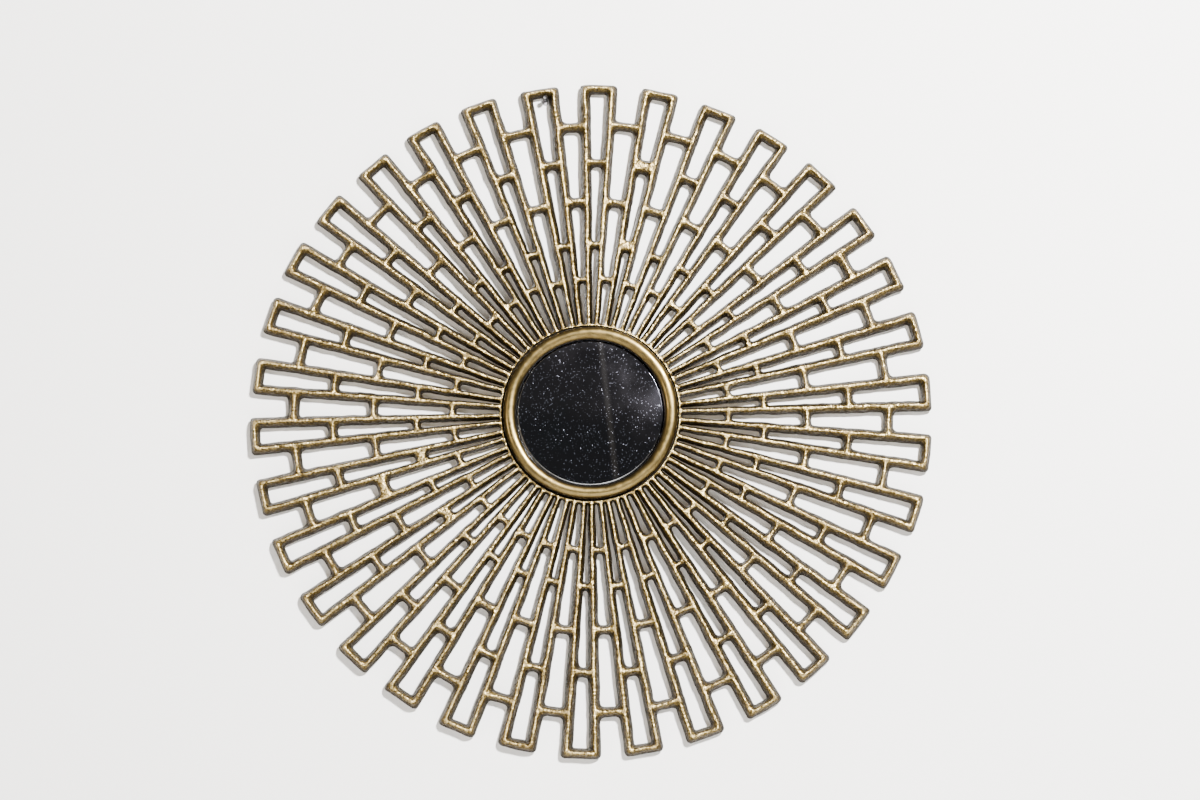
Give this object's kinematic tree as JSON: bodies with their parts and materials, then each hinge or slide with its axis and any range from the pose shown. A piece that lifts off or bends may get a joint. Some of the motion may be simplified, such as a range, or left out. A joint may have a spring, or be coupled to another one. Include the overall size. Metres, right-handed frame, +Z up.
{
  "type": "sunburst wall mirror",
  "caption": "Round wall mirror in a flat cast sunburst frame of brick-pattern rays with open fingers, a half-round bezel and a small bevelled glass.",
  "frame": {"origin": "centre of the mirror on the wall's face", "axes": "+Z up, -Y towards the viewer, +Y into the wall, +X to the right seen from the front"},
  "size_m": [0.61, 0.0492, 0.61],
  "materials": {
    "antique_brass_casting": "rough sand casting in antique brass finish, bright on the crests, dark in the recesses",
    "smooth_brass": "smooth, satin antique brass finish",
    "black_rubber": "matt",
    "mirror_glass": "silvered glass with a polished bevel, dusty",
    "grey_foam": "open foam",
    "hardboard": "pressed fibre board",
    "zinc_steel": "zinc plated sheet",
    "zinc_screws": "zinc plated",
    "bumper_rubber": "matt",
    "black_steel": "black phosphate",
    "grey_nylon": "moulded"
  },
  "bodies": {
    "frame": {"sunburst_frame": "antique_brass_casting", "bezel_ring": "smooth_brass", "glass_gasket": "black_rubber", "mirror_glass": "mirror_glass", "foam_pad": "grey_foam", "backing_board": "hardboard", "turn_button_screws": "zinc_screws", "bezel_screws": "zinc_screws", "wall_bumpers": "bumper_rubber", "wall_screw": "black_steel", "wall_plug": "grey_nylon"},
    "turn_button_1": {"turn_button_1": "zinc_steel"},
    "turn_button_2": {"turn_button_2": "zinc_steel"},
    "turn_button_3": {"turn_button_3": "zinc_steel"},
    "turn_button_4": {"turn_button_4": "zinc_steel"}
  },
  "joints": [
    {"name": "turn_button_1_pivot", "type": "hinge", "parent": "frame", "child": "turn_button_1", "pos_m": [0.05388, -0.00305, 0.05388], "axis": [0, 1, 0], "range_deg": [-95, 95]},
    {"name": "turn_button_2_pivot", "type": "hinge", "parent": "frame", "child": "turn_button_2", "pos_m": [0.05388, -0.00305, -0.05388], "axis": [0, 1, 0], "range_deg": [-95, 95]},
    {"name": "turn_button_3_pivot", "type": "hinge", "parent": "frame", "child": "turn_button_3", "pos_m": [-0.05388, -0.00305, -0.05388], "axis": [0, 1, 0], "range_deg": [-95, 95]},
    {"name": "turn_button_4_pivot", "type": "hinge", "parent": "frame", "child": "turn_button_4", "pos_m": [-0.05388, -0.00305, 0.05388], "axis": [0, 1, 0], "range_deg": [-95, 95]}
  ]
}
